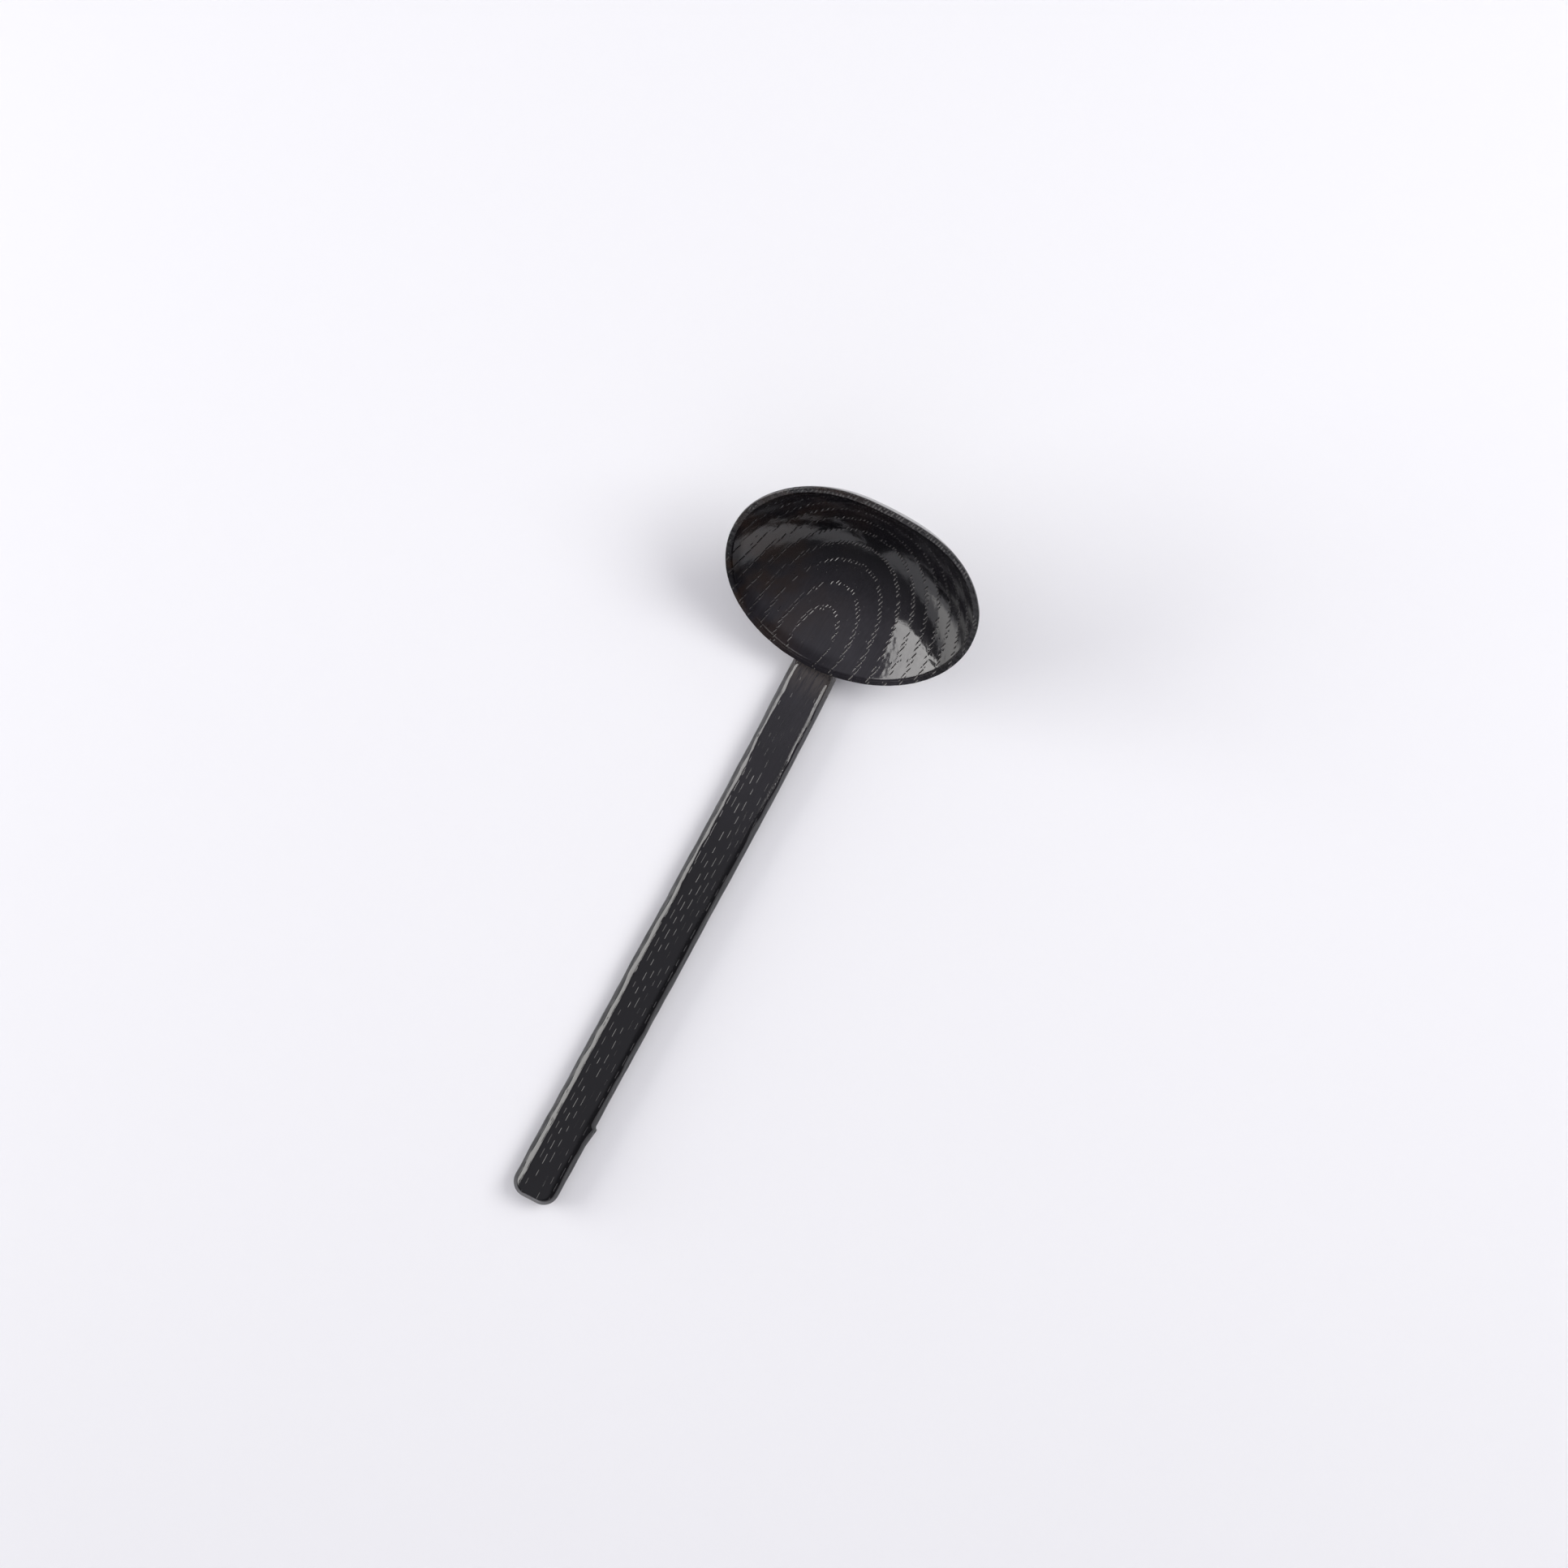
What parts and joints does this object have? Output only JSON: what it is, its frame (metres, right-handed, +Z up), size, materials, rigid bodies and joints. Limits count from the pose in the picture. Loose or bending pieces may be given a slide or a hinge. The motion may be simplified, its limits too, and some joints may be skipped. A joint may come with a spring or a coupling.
{
  "type": "lacquered wooden ladle",
  "caption": "Black lacquered wooden ladle with a round shallow bowl tilted up at the end of a straight flat-topped handle; it lies on the handle's flat underside.",
  "frame": {"origin": "on the table, under the middle of the ladle's bounding box", "axes": "+Z up from the table, +Y along the handle towards the bowl, +X across, to the right when looking along +Y"},
  "size_m": [0.0804, 0.2402, 0.0692],
  "materials": {
    "wood": "bare, turned and carved; grain like ash or zelkova, species guessed",
    "lacquer": "glossy black lacquer over open grain",
    "rim": "glossy black lacquer, slightly worn"
  },
  "bodies": {
    "root": {"bowl_wood": "wood", "handle_wood": "wood", "bowl_inner_lacquer": "lacquer", "bowl_outer_lacquer": "lacquer", "rim_lacquer": "rim", "handle_lacquer": "lacquer"}
  },
  "joints": []
}
